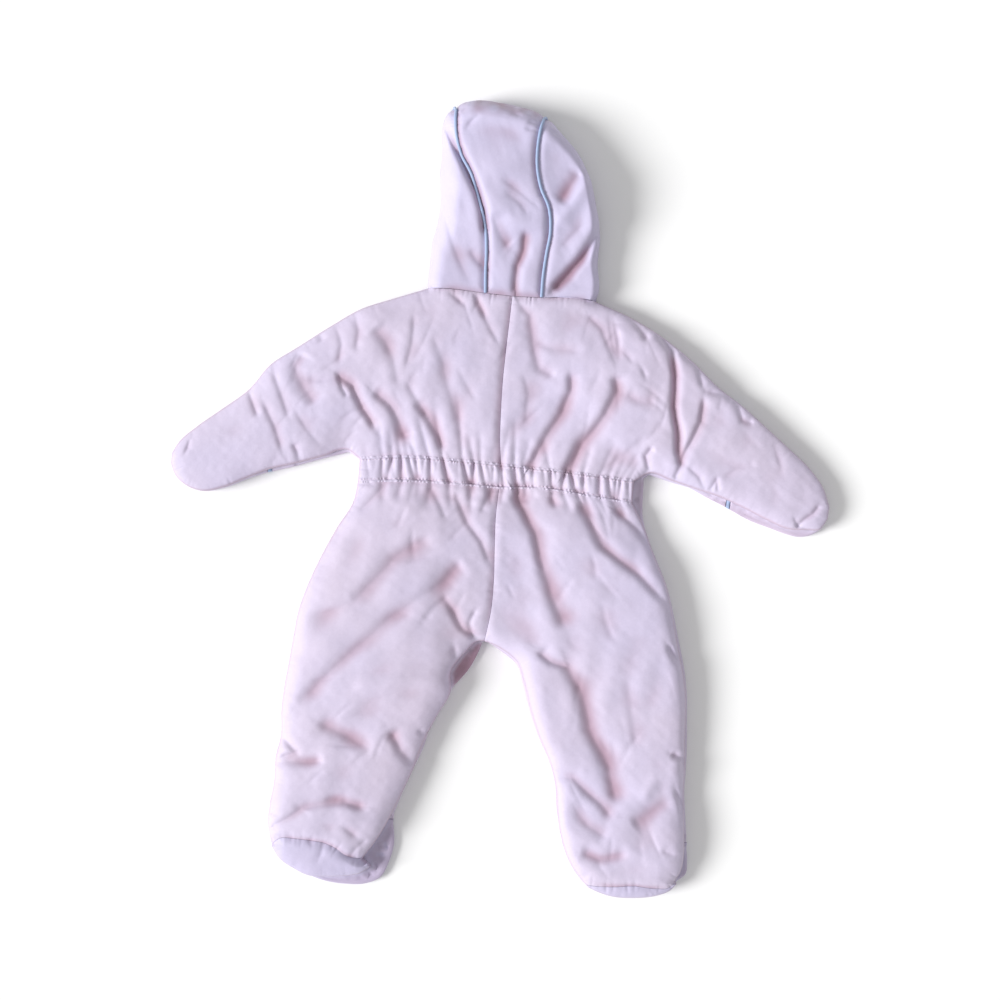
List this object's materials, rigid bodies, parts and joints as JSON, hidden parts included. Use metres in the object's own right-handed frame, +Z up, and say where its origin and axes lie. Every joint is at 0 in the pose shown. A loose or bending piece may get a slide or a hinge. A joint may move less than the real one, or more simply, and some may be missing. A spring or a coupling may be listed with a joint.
{
  "type": "baby snowsuit",
  "caption": "Padded one-piece baby suit with a hood, grown-on mittens, a gathered back waist and closed feet, laid flat on its front.",
  "frame": {"origin": "on the surface the suit lies on, under the middle of its outline", "axes": "+Z up out of the wearer's back, +Y towards the hood, +X to the wearer's right"},
  "size_m": [0.66, 0.792, 0.0486],
  "materials": {
    "shell": "soft sheen",
    "piping": "satin",
    "zip_tape": "matt",
    "zip_metal": "satin"
  },
  "bodies": {
    "suit": {"back_left": "shell", "back_right": "shell", "foot_upper_left": "shell", "foot_upper_right": "shell", "front_left": "shell", "front_right": "shell", "hood_centre": "shell", "hood_side_left": "shell", "hood_side_right": "shell", "leg_back_left": "shell", "leg_back_right": "shell", "mitten_front_left": "shell", "mitten_front_right": "shell", "sole_left": "shell", "sole_right": "shell", "waist_casing": "shell", "hood_piping_left": "piping", "hood_piping_right": "piping", "mitten_binding_left": "piping", "mitten_binding_right": "piping", "zip_tape": "zip_tape", "zip_slider": "zip_metal"},
    "pull": {"zip_pull": "zip_metal"}
  },
  "joints": [
    {"name": "pull_hinge", "type": "hinge", "parent": "suit", "child": "pull", "pos_m": [-0.001, 0.20903, 0.00195], "axis": [1, 0, 0], "range_deg": [0, 160]}
  ]
}
